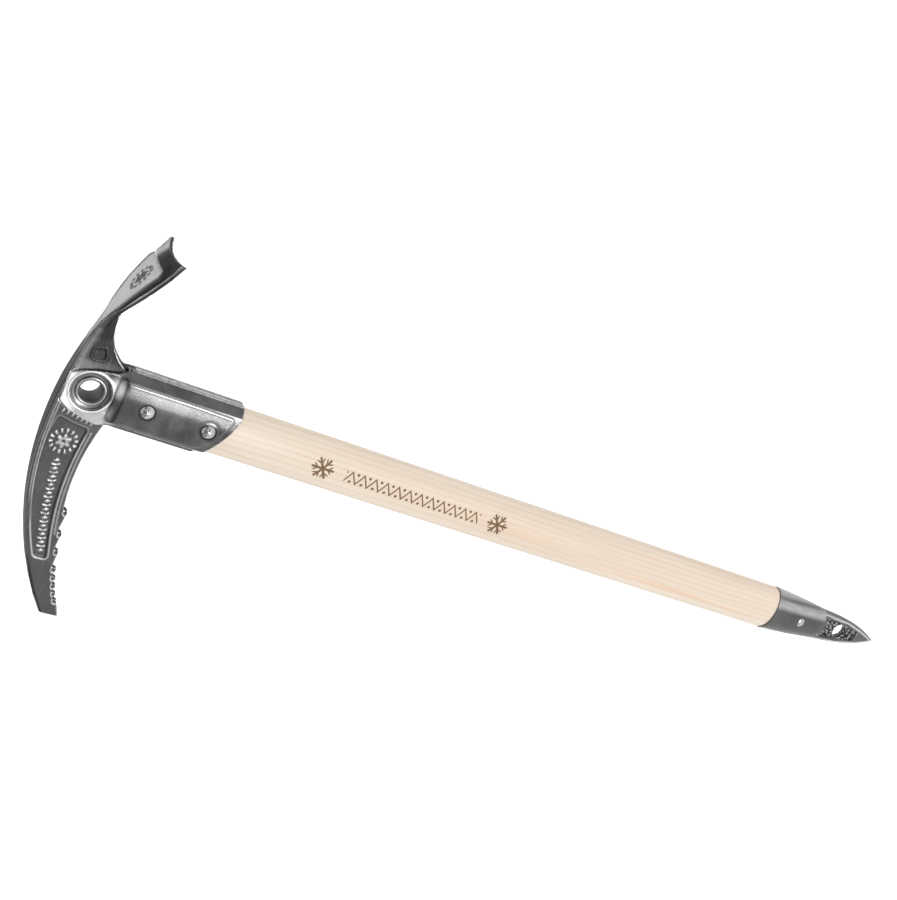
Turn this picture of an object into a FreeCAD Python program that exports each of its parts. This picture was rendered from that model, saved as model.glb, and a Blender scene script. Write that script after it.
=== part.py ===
import FreeCAD, Part
import math
import os
import Sketcher
from FreeCAD import Placement, Rotation, Vector

# A classic mountaineering ice axe, in millimetres.
# Origin: centre of the karabiner eye. +Z runs up the shaft to the head,
# +X points to the adze (the pick is on -X), and Y is across the thin side.

# Every driving size: name, value and what it measures.
DRIVING_SIZES = (
    ("eye_bore", 12.8, "clear bore of the karabiner eye"),
    ("eyelet_wall", 1.3, "wall of the tubular rivet that lines the eye"),
    ("eyelet_lip", 1.05, "how far the rolled rim stands out from the tube"),
    ("eyelet_flare", 0.7, "bell mouth at each end of the eye"),
    ("eye_dish_width", 24.0, "dished ring pressed round the eye"),
    ("eye_dish_drop", 1.2, "depth of the dished ring"),
    ("tang_thickness", 4.4, "flat tang of the forging, between the cheeks"),
    ("boss_thickness", 14.4, "forged boss round the eye"),
    ("cheek_wall", 1.8, "sheet of the pressed cheeks"),
    ("flange_lap", 2.0, "cheek flange beyond the wood, each side"),
    ("panel_width", 26.8, "flat of the cheek panel over the wood"),
    ("panel_crown", 1.1, "rise of the panel at its middle"),
    ("socket_start", 15.0, "eye centre down to the top of the socket"),
    ("socket_long", 88.0, "eye centre down to the cheek end, adze side"),
    ("socket_middle", 82.0, "the same on the centre line"),
    ("socket_short", 70.5, "the same on the pick side"),
    ("rivet_upper_drop", 33.0, "eye centre down to the upper rivet"),
    ("rivet_lower_drop", 70.5, "eye centre down to the lower rivet"),
    ("rivet_shank", 5.0, "shank of the cheek rivets"),
    ("rivet_head", 8.4, "domed head of the cheek rivets"),
    ("rivet_rise", 2.2, "height of those heads"),
    ("head_rise", 16.5, "eye centre up to the spine above it"),
    ("summit_offset", 21.5, "eye centre across to the summit of the spine, pick side"),
    ("summit_rise", 1.1, "summit of the spine above the spine over the eye"),
    ("spine_width", 19.6, "spine over the eye, side to side"),
    ("spine_crown", 1.8, "how far the edges of the spine drop"),
    ("pick_reach", 149.8, "eye centre across to the point of the pick"),
    ("pick_drop", 35.8, "eye level down to the point of the pick"),
    ("pick_end", 12.0, "height of the cut end of the pick"),
    ("pick_depth", 23.5, "pick at its first tooth, spine to underside"),
    ("pick_hollow", 3.1, "rise of the plain underside over its chord"),
    ("tooth_start", 78.5, "eye centre across to the first tooth"),
    ("tooth_depth", 2.8, "depth of a tooth"),
    ("tooth_bow", 3.4, "bow of the line through the tooth tips"),
    ("adze_reach", 91.7, "eye centre across to the cutting edge"),
    ("adze_drop", 12.2, "eye level down to the middle of the cutting edge"),
    ("adze_width", 55.4, "cutting edge of the adze"),
    ("adze_arch", 3.0, "hollow of the adze across its width"),
    ("adze_thickness", 2.8, "plate of the adze"),
    ("neck_start", 28.0, "eye centre across to where the adze grows out of the neck"),
    ("neck_thickness", 5.0, "plate of the adze at that place"),
    ("shaft_width", 33.7, "ash shaft, pick to adze"),
    ("shaft_thickness", 22.8, "ash shaft, side to side"),
    ("ferrule_drop", 522.0, "eye centre down to the mouth of the ferrule"),
    ("ferrule_length", 51.0, "ferrule, mouth to spike"),
    ("ferrule_wall", 1.1, "wall of the ferrule"),
    ("ferrule_proud", 0.45, "ferrule mouth beyond the wood, each side"),
    ("ferrule_end_width", 25.6, "ferrule at the spike, pick to adze"),
    ("ferrule_end_thickness", 17.0, "ferrule at the spike, side to side"),
    ("spike_length", 60.0, "spike below the ferrule"),
    ("spike_hole", 11.8, "hole through the spike"),
    ("spike_hole_drop", 23.0, "ferrule end down to the spike hole"),
    ("spike_web", 6.0, "plate left between the two hollows of the spike"),
    ("spike_rim_gap", 2.2, "hollow beyond the hole, each side"),
    ("spike_hollow_start", 4.0, "ferrule end down to the hollows"),
    ("spike_hollow_length", 36.0, "length of the hollows"),
    ("spike_tang_width", 16.0, "tang of the spike inside the wood"),
    ("spike_tang_thickness", 5.0, "the same, side to side"),
    ("spike_tang_length", 44.0, "the same, up from the ferrule end"),
    ("toe_rivet_rise", 23.5, "ferrule end up to its rivet"),
    ("toe_rivet_shank", 3.8, "shank of the ferrule rivet"),
    ("toe_rivet_head", 6.6, "domed head of the ferrule rivet"),
    ("toe_rivet_dome", 1.5, "height of that head"),
    ("fit_gap", 0.1, "play between a piece and its seat"),
)

doc = FreeCAD.newDocument("ice_axe")
sheet = doc.addObject("Spreadsheet::Sheet", "sizes")
for row, (alias, value, meaning) in enumerate(DRIVING_SIZES, start=1):
    sheet.set(f"A{row}", meaning)
    sheet.set(f"B{row}", str(value))
    sheet.setAlias(f"B{row}", alias)
doc.recompute()


class Size:
    """A length with the spreadsheet expression that gives it."""

    def __init__(self, value, text):
        self.value = value
        self.text = text

    def combine(self, other, sign, value):
        other_text = other.text if isinstance(other, Size) else repr(other)
        return Size(value, f"({self.text} {sign} {other_text})")

    def __add__(self, other):
        return self.combine(other, "+", self.value + plain(other))

    def __sub__(self, other):
        return self.combine(other, "-", self.value - plain(other))

    def __mul__(self, other):
        return self.combine(other, "*", self.value * plain(other))

    def __truediv__(self, other):
        return self.combine(other, "/", self.value / plain(other))

    def __neg__(self):
        return Size(-self.value, f"(0 - {self.text})")


def plain(size):
    return size.value if isinstance(size, Size) else size


def cell(alias):
    return Size(float(sheet.get(alias)), f"sizes.{alias}")


def drive(target, **sizes):
    """Bind properties of one object to the spreadsheet."""
    for name, size in sizes.items():
        target.setExpression(name, size.text)


def place(target, x=None, y=None, z=None):
    """Bind the position of one object to the spreadsheet."""
    for axis, size in (("x", x), ("y", y), ("z", z)):
        if size is not None:
            target.setExpression(f"Placement.Base.{axis}", size.text)


ZERO = Size(0.0, "0")
ALONG_Y = Rotation(Vector(1, 0, 0), -90)

# Sizes that several pieces share.
fit_gap = cell("fit_gap")
tang_half = cell("tang_thickness") / 2
boss_half = cell("boss_thickness") / 2
cheek_wall = cell("cheek_wall")
eye_face = boss_half + cheek_wall
shaft_half_width = cell("shaft_width") / 2
shaft_half_thickness = cell("shaft_thickness") / 2
flange_half = shaft_half_width + cell("flange_lap")
panel_face = shaft_half_thickness + fit_gap + cheek_wall
panel_half = cell("panel_width") / 2
rivet_seat = panel_face - cell("panel_crown") / 9
rivet_flat = cell("rivet_head") / 2 + 0.3
socket_start = cell("socket_start")
wood_top = socket_start + cheek_wall + fit_gap
eyelet_radius = cell("eye_bore") / 2 + cell("eyelet_wall")
lip_radius = eyelet_radius + cell("eyelet_lip")
ferrule_drop = cell("ferrule_drop")
ferrule_end = ferrule_drop + cell("ferrule_length")
ferrule_half_width = shaft_half_width + cell("ferrule_proud")
ferrule_half_thickness = shaft_half_thickness + cell("ferrule_proud")
ferrule_end_half_width = cell("ferrule_end_width") / 2
ferrule_end_half_thickness = cell("ferrule_end_thickness") / 2
toe_rivet_drop = ferrule_end - cell("toe_rivet_rise")
spike_hole_drop = ferrule_end + cell("spike_hole_drop")


# ---------------------------------------------------------------- sketches

def origin_plane(body, role):
    for feature in body.Origin.OriginFeatures:
        if feature.Role == role:
            return feature
    raise ValueError(role)


def start_sketch(body, name, role, lift=None):
    sketch = body.newObject("Sketcher::SketchObject", name)
    sketch.AttachmentSupport = (origin_plane(body, role), [""])
    sketch.MapMode = "FlatFace"
    if lift is not None:
        sketch.setExpression("AttachmentOffset.Base.z", lift.text)
    return sketch


def outline(sketch, corners, arcs=None):
    """Closed outline whose corners the spreadsheet drives.

    arcs gives the radius of each edge that is a left-turning arc.
    """
    arcs = arcs or {}
    points = [Vector(x.value, y.value, 0) for x, y in corners]
    count = len(points)
    for index in range(count):
        start = points[index]
        end = points[(index + 1) % count]
        if index in arcs:
            half_chord = (end - start) / 2
            reach = arcs[index].value
            depth = reach - math.sqrt(reach ** 2 - half_chord.Length ** 2)
            outward = Vector(half_chord.y, -half_chord.x, 0).normalize()
            edge = Part.Arc(start, start + half_chord + outward * depth, end)
        else:
            edge = Part.LineSegment(start, end)
        sketch.addGeometry(edge, False)
    for index in range(count):
        follower = (index + 1) % count
        sketch.addConstraint(Sketcher.Constraint("Coincident", index, 2, follower, 1))
    for index, corner in enumerate(corners):
        for kind, size in zip(("DistanceX", "DistanceY"), corner):
            pin = Sketcher.Constraint(kind, -1, 1, index, 1, size.value)
            number = sketch.addConstraint(pin)
            sketch.setExpression(f"Constraints[{number}]", size.text)
    for index, radius in arcs.items():
        number = sketch.addConstraint(Sketcher.Constraint("Radius", index, radius.value))
        sketch.setExpression(f"Constraints[{number}]", radius.text)


def turned(name, corners, arcs=None):
    """Solid of revolution about Y: corners are (radius, y)."""
    body = doc.addObject("PartDesign::Body", name)
    sketch = start_sketch(body, f"{name}_profile", "XY_Plane")
    outline(sketch, corners, arcs)
    feature = body.newObject("PartDesign::Revolution", f"{name}_turn")
    feature.Profile = sketch
    feature.ReferenceAxis = (sketch, ["V_Axis"])
    feature.Angle = 360
    return body


def through_rod(name, radius, half_length, drop=None):
    """Rod along Y, used as a drill."""
    rod = doc.addObject("Part::Cylinder", name)
    drive(rod, Radius=radius, Height=half_length * 2)
    rod.Placement = Placement(Vector(0, 0, 0), ALONG_Y)
    place(rod, y=-half_length)
    if drop is not None:
        place(rod, z=-drop)
    return rod


def block(name, x_half, y_half, top, bottom):
    """Box centred on the shaft axis between two drops below the eye."""
    box = doc.addObject("Part::Box", name)
    drive(box, Length=x_half * 2, Width=y_half * 2, Height=bottom - top)
    place(box, x=-x_half, y=-y_half, z=-bottom)
    return box


def oval(name, half_width, half_thickness, drop):
    """Oval across the shaft; the larger radius lies along X."""
    ring = doc.addObject("Part::Ellipse", name)
    drive(ring, MajorRadius=half_width, MinorRadius=half_thickness)
    place(ring, z=-drop)
    return ring


def tapered(name, *rings):
    loft = doc.addObject("Part::Loft", name)
    loft.Sections = list(rings)
    loft.Solid = True
    loft.Ruled = False
    return loft


def joined(name, *pieces):
    union = doc.addObject("Part::MultiFuse", name)
    union.Shapes = list(pieces)
    union.Refine = True
    return union


def cut(name, base, *tools):
    """Base less all the tools, as one object."""
    result = doc.addObject("Part::Cut", name)
    result.Base = base
    result.Tool = tools[0] if len(tools) == 1 else joined(f"{name}_tools", *tools)
    result.Refine = True
    return result


def shape_feature(name, shape):
    feature = doc.addObject("Part::Feature", name)
    feature.Shape = shape
    return feature


# ----------------------------------------------------------- head forging

dish_radius = cell("eye_dish_width") / 2
pan_top = cell("head_rise") - cell("spine_crown") + fit_gap
head_rise = cell("head_rise").value
summit_x = -cell("summit_offset").value
summit_z = head_rise + cell("summit_rise").value
spine_half = cell("spine_width").value / 2
pick_reach = cell("pick_reach").value
pick_drop = cell("pick_drop").value
tooth_start = cell("tooth_start").value
tooth_depth = cell("tooth_depth").value
adze_reach = cell("adze_reach").value
neck_start = cell("neck_start").value
# Shares of the toothed edge from each tooth to the next, the last one to the point.
TOOTH_STEPS = (15.0, 12.0, 12.0, 6.0, 5.0, 5.5, 4.5, 11.3)
TOOTH_LEAN = 1.2
# Spine: share of the reach (pick negative), share of the width over the eye,
# and half width of the thinner foot below.
SPINE_STATIONS = (
    (-1.02, 0.25, 1.8),
    (-0.75, 0.30, 2.0),
    (-0.53, 0.39, 2.2),
    (-0.40, 0.53, 2.5),
    (-0.27, 0.71, 2.8),
    (-0.13, 0.92, 3.0),
    (0.0, 1.0, 3.4),
    (0.20, 0.71, 3.4),
    (0.33, 0.51, 3.0),
    (0.56, 0.35, 2.2),
)
SLICES_PER_STATION = 3
# Adze: share of the way from neck to edge, share of the full width, of the arch.
ADZE_STATIONS = (
    (0.0, 0.15, 0.05),
    (0.19, 0.20, 0.15),
    (0.35, 0.42, 0.35),
    (0.50, 0.69, 0.60),
    (0.66, 0.87, 0.85),
    (0.82, 0.97, 1.0),
    (1.0, 1.0, 1.0),
)


def spine_height(x):
    """Height of the spine: two arcs that share a level tangent at the summit."""
    if x < summit_x:
        run = pick_reach + summit_x
        fall = summit_z + pick_drop - cell("pick_end").value
    else:
        run = adze_reach - summit_x
        fall = summit_z + cell("adze_drop").value
    radius = (run ** 2 + fall ** 2) / (2 * fall)
    return summit_z - radius + math.sqrt(radius ** 2 - (x - summit_x) ** 2)


def tooth_line(x):
    """Height of the line through the tooth tips."""
    start_z = spine_height(-tooth_start) - cell("pick_depth").value - tooth_depth
    share = (-x - tooth_start) / (pick_reach - tooth_start)
    chord = start_z + share * (-pick_drop - start_z)
    return chord + cell("tooth_bow").value * 4 * share * (1 - share)


def tooth_points():
    """Underside of the pick from the first tooth to the point."""
    points = []
    x = -tooth_start
    unit = (pick_reach - tooth_start) / sum(TOOTH_STEPS)
    for step in TOOTH_STEPS:
        tip_x = x - TOOTH_LEAN
        points.append(Vector(x, 0, tooth_line(x) + tooth_depth))
        points.append(Vector(tip_x, 0, tooth_line(tip_x)))
        x -= step * unit
    points.append(Vector(-pick_reach, 0, -pick_drop))
    return points


def arc_edge(start, middle, end):
    return Part.Arc(start, middle, end).toShape()


def below_spine():
    """Side view of the forging under its spine, as a face in the XZ plane."""
    root = Vector(-flange_half.value, 0, -socket_start.value)
    first = tooth_points()[0]
    hollow = (root + first) / 2 + Vector(0, 0, cell("pick_hollow").value)
    neck_foot = Vector(flange_half.value - 2, 0, -socket_start.value)
    neck_tip = Vector(adze_reach * 0.52, 0, 0)
    neck_hollow = Vector(adze_reach * 0.295, 0, -4.2)
    far_above = head_rise + 20
    teeth = tooth_points()
    back_corner = Vector(-pick_reach, 0, spine_height(-pick_reach))
    corners = [teeth[-1], back_corner, Vector(-pick_reach, 0, far_above)]
    corners += [Vector(neck_tip.x, 0, far_above), neck_tip]
    edges = [Part.makeLine(a, b) for a, b in zip(corners, corners[1:])]
    edges.append(arc_edge(neck_tip, neck_hollow, neck_foot))
    edges.append(Part.makeLine(neck_foot, root))
    edges.append(arc_edge(root, hollow, first))
    edges += [Part.makeLine(a, b) for a, b in zip(teeth, teeth[1:])]
    return Part.Face(Part.Wire(edges))


def spine_section(x, width_share, half_foot):
    """Six-sided cross-section of the forging: a crowned spine over a thinner foot."""
    top = spine_height(x)
    half_top = spine_half * width_share
    crown = cell("spine_crown").value * width_share
    foot = min(-16.0, top - 40.0)
    ring = (
        (0.4 * half_top, top), (half_top, top - crown), (half_foot, foot),
        (-half_foot, foot), (-half_top, top - crown), (-0.4 * half_top, top),
    )
    points = [Vector(x, y, z) for y, z in ring]
    return Part.makePolygon(points + points[:1])


def spine_slices():
    """Places along the head with the two half widths there, eased between stations."""
    slices = []
    for near, far in zip(SPINE_STATIONS, SPINE_STATIONS[1:]):
        for step in range(SLICES_PER_STATION):
            blend = step / SLICES_PER_STATION
            slices.append([a + blend * (b - a) for a, b in zip(near, far)])
    slices.append(list(SPINE_STATIONS[-1]))
    return slices


def blade_core():
    """Pick, eye web and neck: the crowned wedge trimmed to its side view."""
    rings = []
    for share, width_share, half_foot in spine_slices():
        reach = pick_reach if share < 0 else adze_reach
        rings.append(spine_section(share * reach, width_share, half_foot))
    wedge = Part.makeLoft(rings, True, True)
    side = below_spine()
    side.translate(Vector(0, -20, 0))
    return wedge.common(side.extrude(Vector(0, 40, 0)))


def adze_section(share, width_share, arch_share):
    """Arched slice across the adze plate."""
    x = neck_start + share * (adze_reach - neck_start)
    half = width_share * cell("adze_width").value / 2
    arch = arch_share * cell("adze_arch").value
    neck_plate = cell("neck_thickness").value
    plate = neck_plate + min(1, 2 * share) * (cell("adze_thickness").value - neck_plate)
    top = spine_height(x)
    left, right = Vector(x, -half, top - arch), Vector(x, half, top - arch)
    down = Vector(0, 0, -plate)
    edges = [
        arc_edge(left, Vector(x, 0, top), right),
        Part.makeLine(right, right + down),
        arc_edge(right + down, Vector(x, 0, top - plate), left + down),
        Part.makeLine(left + down, left),
    ]
    return Part.Wire(edges)


def pan_corners():
    """Outline of the cheek round the eye, as (x, z) sizes."""
    top = pan_top
    foot = -(socket_start + cheek_wall)
    return (
        (-(dish_radius * 0.83), top),
        (-(dish_radius + 2.5), dish_radius * 0.67),
        (-(dish_radius + 5.5), -(dish_radius * 0.17)),
        (-flange_half, -dish_radius),
        (-flange_half, foot),
        (flange_half, foot),
        (flange_half, -(socket_start + 1.0)),
        (flange_half - 2.4, -socket_start),
        (dish_radius + 3.0, -(dish_radius * 0.83)),
        (dish_radius + 1.6, ZERO),
        (dish_radius * 0.95, dish_radius * 0.62),
        (dish_radius * 0.62, top),
    )


def pan_face(y):
    points = [Vector(x.value, y, z.value) for x, z in pan_corners()]
    return Part.Face(Part.makePolygon(points + points[:1]))


def eye_boss():
    """Thick pad round the eye that the cheeks lie on."""
    inner = pan_face(-boss_half.value).makeOffset2D(-cheek_wall.value)
    pad = inner.extrude(Vector(0, 2 * boss_half.value, 0))
    limit = Part.makeBox(80, 80, 80, Vector(-40, -40, -socket_start.value))
    return pad.common(limit)


def cheek_seats():
    """Steps in the sides of the forging that the cheeks' eye pans drop into."""
    reach = Vector(0, spine_half, 0)
    back = pan_face(boss_half.value).extrude(reach)
    front = pan_face(-boss_half.value).extrude(-reach)
    return [front, back]


def end_region():
    """Everything below the slanting end of the socket, seen from the side."""
    right = Vector(flange_half.value - 1.3, 0, -cell("socket_long").value)
    middle = Vector(0, 0, -cell("socket_middle").value)
    left = Vector(-(flange_half.value - 2.2), 0, -cell("socket_short").value)
    right_turn = right + Vector(1.4, 0, 1.4)
    left_turn = left + Vector(-2.4, 0, 2.4)
    far, deep = flange_half.value + 20, -cell("socket_long").value - 60
    edges = [arc_edge(left, middle, right)]
    corners = [right, right_turn, Vector(far, 0, right_turn.z), Vector(far, 0, deep)]
    corners += [Vector(-far, 0, deep), Vector(-far, 0, left_turn.z), left_turn, left]
    edges += [Part.makeLine(a, b) for a, b in zip(corners, corners[1:])]
    return Part.Face(Part.Wire(edges))


def end_block(lower=0.0):
    """The end region as a solid right across the axe, moved down by lower."""
    face = end_region()
    face.translate(Vector(0, -40, -lower))
    return face.extrude(Vector(0, 80, 0))


def tang(grow=0.0):
    """Flat tang between the cheeks; grow is added on its faces and at its end."""
    half = flange_half.value + grow
    thick = tang_half.value + grow
    depth = cell("socket_long").value + 10
    start = Vector(-half, -thick, -depth)
    slab = Part.makeBox(2 * half, 2 * thick, depth - socket_start.value + 3, start)
    return slab.cut(end_block(grow))


def head_forging():
    core = blade_core().cut(cheek_seats())
    plate = Part.makeLoft([adze_section(*station) for station in ADZE_STATIONS], True, False)
    return core.fuse([plate, eye_boss(), tang()]).removeSplitter()


forging = shape_feature("head_forging", head_forging())
socket_end = shape_feature("socket_end", end_block())
tang_seat = shape_feature("tang_seat", tang(fit_gap.value))
eye_drill = through_rod("eye_drill", eyelet_radius + fit_gap, eye_face * 3)
rivet_drills = []
for name in ("rivet_upper", "rivet_lower"):
    drill_radius = cell("rivet_shank") / 2 + fit_gap
    drill = through_rod(f"{name}_drill", drill_radius, panel_face * 2, cell(f"{name}_drop"))
    rivet_drills.append(drill)
head_blade = cut("head_blade", forging, eye_drill, *rivet_drills)


# ------------------------------------------------------------------ cheeks

def cheek_form():
    """Pressed cheek before it is trimmed: hat-shaped socket and eye pan."""
    body = doc.addObject("PartDesign::Body", "cheek_form")
    flange_face = tang_half + cheek_wall
    panel_edge = panel_face - cell("panel_crown")
    foot_half = shaft_half_width + 0.45

    def pad_or_pocket(kind, name, sketch, length, reverse):
        feature = body.newObject(f"PartDesign::{kind}", name)
        feature.Profile = sketch
        drive(feature, Length=length)
        feature.Reversed = reverse
        return feature

    hat = start_sketch(body, "hat", "XY_Plane", -socket_start)
    right_side = [
        (rivet_flat, -rivet_seat), (panel_half, -panel_edge), (foot_half, -flange_face),
        (flange_half, -flange_face), (flange_half, -tang_half),
    ]
    left_side = [(-x, y) for x, y in reversed(right_side)]
    outline(hat, left_side + right_side)
    pad_or_pocket("Pad", "hat_pad", hat, cell("socket_long") - socket_start + 4, True)

    hollow = start_sketch(body, "hollow", "XY_Plane", -(socket_start + cheek_wall))
    right_side = [
        (rivet_flat, -(rivet_seat - cheek_wall)),
        (panel_half - cheek_wall * 0.8, -(panel_edge - cheek_wall)),
        (foot_half - cheek_wall * 0.72, -flange_face),
        (foot_half - cheek_wall * 0.72, -(tang_half - 1)),
    ]
    left_side = [(-x, y) for x, y in reversed(right_side)]
    outline(hollow, left_side + right_side)
    pad_or_pocket("Pocket", "hollow_cut", hollow, cell("socket_long") + 10, False)

    pan = start_sketch(body, "pan", "XZ_Plane", tang_half)
    outline(pan, list(pan_corners()))
    pad_or_pocket("Pad", "pan_pad", pan, eye_face - tang_half, False)
    return body


def cone_along_y(name, wide, narrow, face, depth):
    """Dish that narrows from the near face of the cheek inwards."""
    cone = doc.addObject("Part::Cone", name)
    drive(cone, Radius1=wide, Radius2=narrow, Height=depth)
    cone.Placement = Placement(Vector(0, 0, 0), ALONG_Y)
    place(cone, y=-face)
    return cone


wood_form = tapered(
    "wood_form",
    oval("wood_form_top", shaft_half_width + fit_gap, shaft_half_thickness + fit_gap, wood_top),
    oval("wood_form_foot", shaft_half_width + fit_gap, shaft_half_thickness + fit_gap, ferrule_drop),
)
eye_dish = cone_along_y(
    "eye_dish", dish_radius, lip_radius + fit_gap, eye_face, cell("eye_dish_drop")
)
cheek_front = cut(
    "cheek_front", cheek_form(), forging, socket_end, wood_form, eye_drill, eye_dish, *rivet_drills
)
cheek_back = doc.addObject("Part::Mirroring", "cheek_back")
cheek_back.Source = cheek_front
cheek_back.Normal = Vector(0, 1, 0)


# --------------------------------------------------- eyelet and fasteners

def eyelet_corners():
    """Section of the eye's tubular rivet: a tube rolled over at both ends."""
    bore = cell("eye_bore") / 2
    flare = cell("eyelet_flare")
    seat = eye_face - cell("eye_dish_drop")
    lip = lip_radius
    half = (
        (bore, eye_face - flare),
        (bore + flare, eye_face),
        (lip, eye_face - 0.35),
        (lip, seat),
        (eyelet_radius, seat),
    )
    lower = [(x, -y) for x, y in half]
    upper = list(reversed(half))
    return lower + upper


def dome_radius(half_width, rise):
    return (half_width * half_width + rise * rise) / (rise * 2)


def domed_rivet(name, shank, head, rise, seat, drop):
    """Rivet along Y with a domed head on each side."""
    corners = [
        (ZERO, -(seat + rise)), (head, -seat), (shank, -seat),
        (shank, seat), (head, seat), (ZERO, seat + rise),
    ]
    dome = dome_radius(head, rise)
    body = turned(name, corners, {0: dome, 4: dome})
    place(body, z=-drop)
    return body


eyelet = turned("eyelet", eyelet_corners())
for name in ("rivet_upper", "rivet_lower"):
    domed_rivet(
        name, cell("rivet_shank") / 2, cell("rivet_head") / 2, cell("rivet_rise"),
        rivet_seat, cell(f"{name}_drop"),
    )


# ------------------------------------------------------- shaft and ferrule

# How much of the ferrule's taper is used up at the toe rivet.
TOE_RIVET_SHARE = 0.42


def along_ferrule(mouth, end, share):
    return mouth + (end - mouth) * share


def ferrule_oval(name, drop, share, inset):
    """Oval of the ferrule part of the way down, less an inset all round."""
    half_width = along_ferrule(ferrule_half_width, ferrule_end_half_width, share)
    half_thick = along_ferrule(ferrule_half_thickness, ferrule_end_half_thickness, share)
    return oval(name, half_width - inset, half_thick - inset, drop)


def ferrule_loft(name, inset, start, end):
    """Tapered oval body: a gentle taper down to the toe rivet, then a steeper one."""
    top = ferrule_oval(f"{name}_top", start, 0.0, inset)
    middle = ferrule_oval(f"{name}_middle", toe_rivet_drop, TOE_RIVET_SHARE, inset)
    foot = ferrule_oval(f"{name}_foot", end, 1.0, inset)
    return tapered(name, top, middle, foot)


ferrule_wall = cell("ferrule_wall")
seat_foot = ferrule_end - fit_gap
shaft_rod = tapered(
    "shaft_rod",
    oval("shaft_rod_top", shaft_half_width, shaft_half_thickness, wood_top),
    oval("shaft_rod_foot", shaft_half_width, shaft_half_thickness, ferrule_drop),
)
shaft_toe = ferrule_loft("shaft_toe", ferrule_wall + fit_gap, ferrule_drop, seat_foot)
spike_tang_half = cell("spike_tang_width") / 2
spike_tang_thin = cell("spike_tang_thickness") / 2
spike_tang_top = ferrule_end - cell("spike_tang_length")
spike_slot = block(
    "spike_slot", spike_tang_half + fit_gap, spike_tang_thin + fit_gap,
    spike_tang_top - fit_gap, ferrule_end + 1,
)
toe_drill = through_rod(
    "toe_drill", cell("toe_rivet_shank") / 2 + fit_gap, shaft_half_thickness * 2, toe_rivet_drop
)
shaft = cut(
    "shaft", joined("shaft_blank", shaft_rod, shaft_toe), tang_seat, spike_slot, toe_drill,
    *rivet_drills,
)

# The toe rivet's heads lie on two shallow spot faces.
toe_surface = along_ferrule(ferrule_half_thickness, ferrule_end_half_thickness, TOE_RIVET_SHARE)
toe_seat = toe_surface - 0.2
toe_head_radius = cell("toe_rivet_head") / 2
spot_faces = []
for side, start in (("front", -(toe_seat + 5)), ("back", toe_seat)):
    spot = doc.addObject("Part::Cylinder", f"toe_spot_{side}")
    drive(spot, Radius=toe_head_radius + fit_gap, Height=Size(5.0, "5"))
    spot.Placement = Placement(Vector(0, 0, 0), ALONG_Y)
    place(spot, y=start, z=-toe_rivet_drop)
    spot_faces.append(spot)
ferrule_outer = ferrule_loft("ferrule_outer", ZERO, ferrule_drop, ferrule_end)
ferrule_inner = ferrule_loft("ferrule_inner", ferrule_wall, ferrule_drop - 0.01, ferrule_end + 0.01)
ferrule = cut("ferrule", ferrule_outer, ferrule_inner, toe_drill, *spot_faces)
domed_rivet(
    "rivet_toe", cell("toe_rivet_shank") / 2, toe_head_radius, cell("toe_rivet_dome"),
    toe_seat, toe_rivet_drop,
)


# ------------------------------------------------------------------- spike

spike_length = cell("spike_length")
# Share of the length below the ferrule, share of the root width, of its thickness.
SPIKE_STATIONS = (
    ("root", 0.0, 1.0, 1.0),
    ("waist", 0.45, 0.82, 0.66),
    ("shoulder", 0.8, 0.44, 0.34),
    ("point", 1.0, 0.05, 0.07),
)
spike_rings = []
for label, share, width_share, thickness_share in SPIKE_STATIONS:
    ring = oval(
        f"spike_{label}", ferrule_end_half_width * width_share,
        ferrule_end_half_thickness * thickness_share, ferrule_end + spike_length * share,
    )
    spike_rings.append(ring)
spike_body = tapered("spike_body", *spike_rings)
spike_tang = block(
    "spike_tang", spike_tang_half, spike_tang_thin, spike_tang_top, ferrule_end + 1
)
spike_hole = cell("spike_hole")
web_half = cell("spike_web") / 2
hollow_width = spike_hole + cell("spike_rim_gap") * 2
hollow_top = ferrule_end + cell("spike_hollow_start")
hollow_length = cell("spike_hollow_length")
spike_tools = [through_rod("spike_hole", spike_hole / 2, web_half * 6, spike_hole_drop), toe_drill]
for label, near_face in (("front", -(web_half + ferrule_half_thickness)), ("back", web_half)):
    hollow = doc.addObject("Part::Box", f"spike_hollow_{label}")
    drive(hollow, Length=hollow_width, Width=ferrule_half_thickness, Height=hollow_length)
    place(hollow, x=-(hollow_width / 2), y=near_face, z=-(hollow_top + hollow_length))
    spike_tools.append(hollow)
spike = cut("spike", joined("spike_blank", spike_body, spike_tang), *spike_tools)


# ------------------------------------------------------------------ export

NODES = (
    "head_blade", "cheek_front", "cheek_back", "eyelet", "rivet_upper", "rivet_lower",
    "shaft", "ferrule", "rivet_toe", "spike",
)
doc.recompute()
for item in doc.Objects:
    if "Invalid" in item.State or "Error" in item.State:
        raise RuntimeError(f"{item.Name} did not build: {item.State}")
os.makedirs("parts", exist_ok=True)
for node in NODES:
    piece = doc.getObject(node)
    if piece.Shape.isNull() or not piece.Shape.isValid():
        raise RuntimeError(f"{node} has no sound shape")
    piece.Label = node
for node in NODES:
    shape = doc.getObject(node).Shape
    box = shape.BoundBox
    print(
        f"{node:12s} {len(shape.Solids)} solid {shape.Volume / 1000:8.2f} cm3"
        f"  x {box.XMin:.1f}..{box.XMax:.1f}  y {box.YMin:.1f}..{box.YMax:.1f}"
        f"  z {box.ZMin:.1f}..{box.ZMax:.1f}"
    )
    shape.exportStep(f"parts/{node}.step")
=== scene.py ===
import math

import bmesh
import bpy
import numpy as np
from mathutils import Matrix, Vector


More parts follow.
